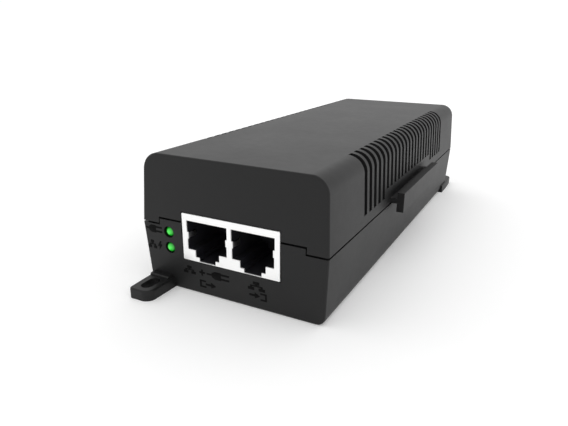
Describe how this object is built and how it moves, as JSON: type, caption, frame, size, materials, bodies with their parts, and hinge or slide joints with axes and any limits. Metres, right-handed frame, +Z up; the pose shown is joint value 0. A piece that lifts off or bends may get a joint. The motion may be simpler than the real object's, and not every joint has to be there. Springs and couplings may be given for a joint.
{
  "type": "poe injector",
  "caption": "Boxy black two-shell PoE power injector with side-by-side network ports, indicator lamps, side vents, clip rails, screw ears and a mains inlet.",
  "frame": {"origin": "centre of the underside, at the middle of the case's length and width, on the surface it stands on", "axes": "+X to the right seen from the port face, +Y from the port face to the mains inlet, +Z up"},
  "size_m": [0.0644, 0.1618, 0.038],
  "materials": {
    "case_plastic": "black moulded plastic with a fine spark texture",
    "screw_steel": "dull zinc-plated steel",
    "label_film": "blank silver-grey label film, satin",
    "board_laminate": "green solder mask over glass laminate",
    "insulation_film": "translucent milky polyester film",
    "nickel_plate": "bright nickel-plated sheet steel",
    "port_plastic": "black moulded plastic, slightly glossy",
    "gold_plate": "gold-plated spring wire",
    "holder_plastic": "black moulded plastic",
    "lamp_green": "diffused green lamp, lit",
    "inlet_plastic": "black moulded plastic, satin",
    "blade_metal": "bright plated brass blades",
    "fuse_plastic": "brown moulded can",
    "varistor_coat": "blue epoxy coating",
    "ntc_coat": "dark green-black epoxy coating",
    "xcap_plastic": "yellow moulded box",
    "ferrite": "dark grey sintered ferrite",
    "copper_wire": "enamelled copper wire",
    "chip_epoxy": "black moulding compound",
    "can_sleeve": "shrink sleeve, dark blue",
    "coil_tape": "yellow polyester tape",
    "sink_aluminium": "plain bent aluminium sheet",
    "ycap_coat": "blue coated ceramic disc"
  },
  "bodies": {
    "root": {"base_case": "case_plastic", "top_cover": "case_plastic", "case_screws": "screw_steel", "rating_label": "label_film", "circuit_board": "board_laminate", "insulation_sheet": "insulation_film", "port_shield": "nickel_plate", "port_insert": "port_plastic", "port_contacts": "gold_plate", "led_holder": "holder_plastic", "power_led": "lamp_green", "poe_led": "lamp_green", "inlet_body": "inlet_plastic", "inlet_pins": "blade_metal", "mains_fuse": "fuse_plastic", "surge_varistor": "varistor_coat", "ntc_thermistor": "ntc_coat", "x_capacitor": "xcap_plastic", "choke_core": "ferrite", "choke_windings": "copper_wire", "bridge_rectifier": "chip_epoxy", "bulk_capacitor": "can_sleeve", "transformer_core": "ferrite", "transformer_winding": "coil_tape", "primary_heatsink": "sink_aluminium", "primary_transistor": "chip_epoxy", "secondary_heatsink": "sink_aluminium", "output_rectifier": "chip_epoxy", "heatsink_screws": "screw_steel", "output_capacitors": "can_sleeve", "output_inductor": "ferrite", "y_capacitor": "ycap_coat", "optocoupler": "chip_epoxy", "controller_chip": "chip_epoxy", "poe_chip": "chip_epoxy", "data_magnetics": "chip_epoxy"}
  },
  "joints": []
}
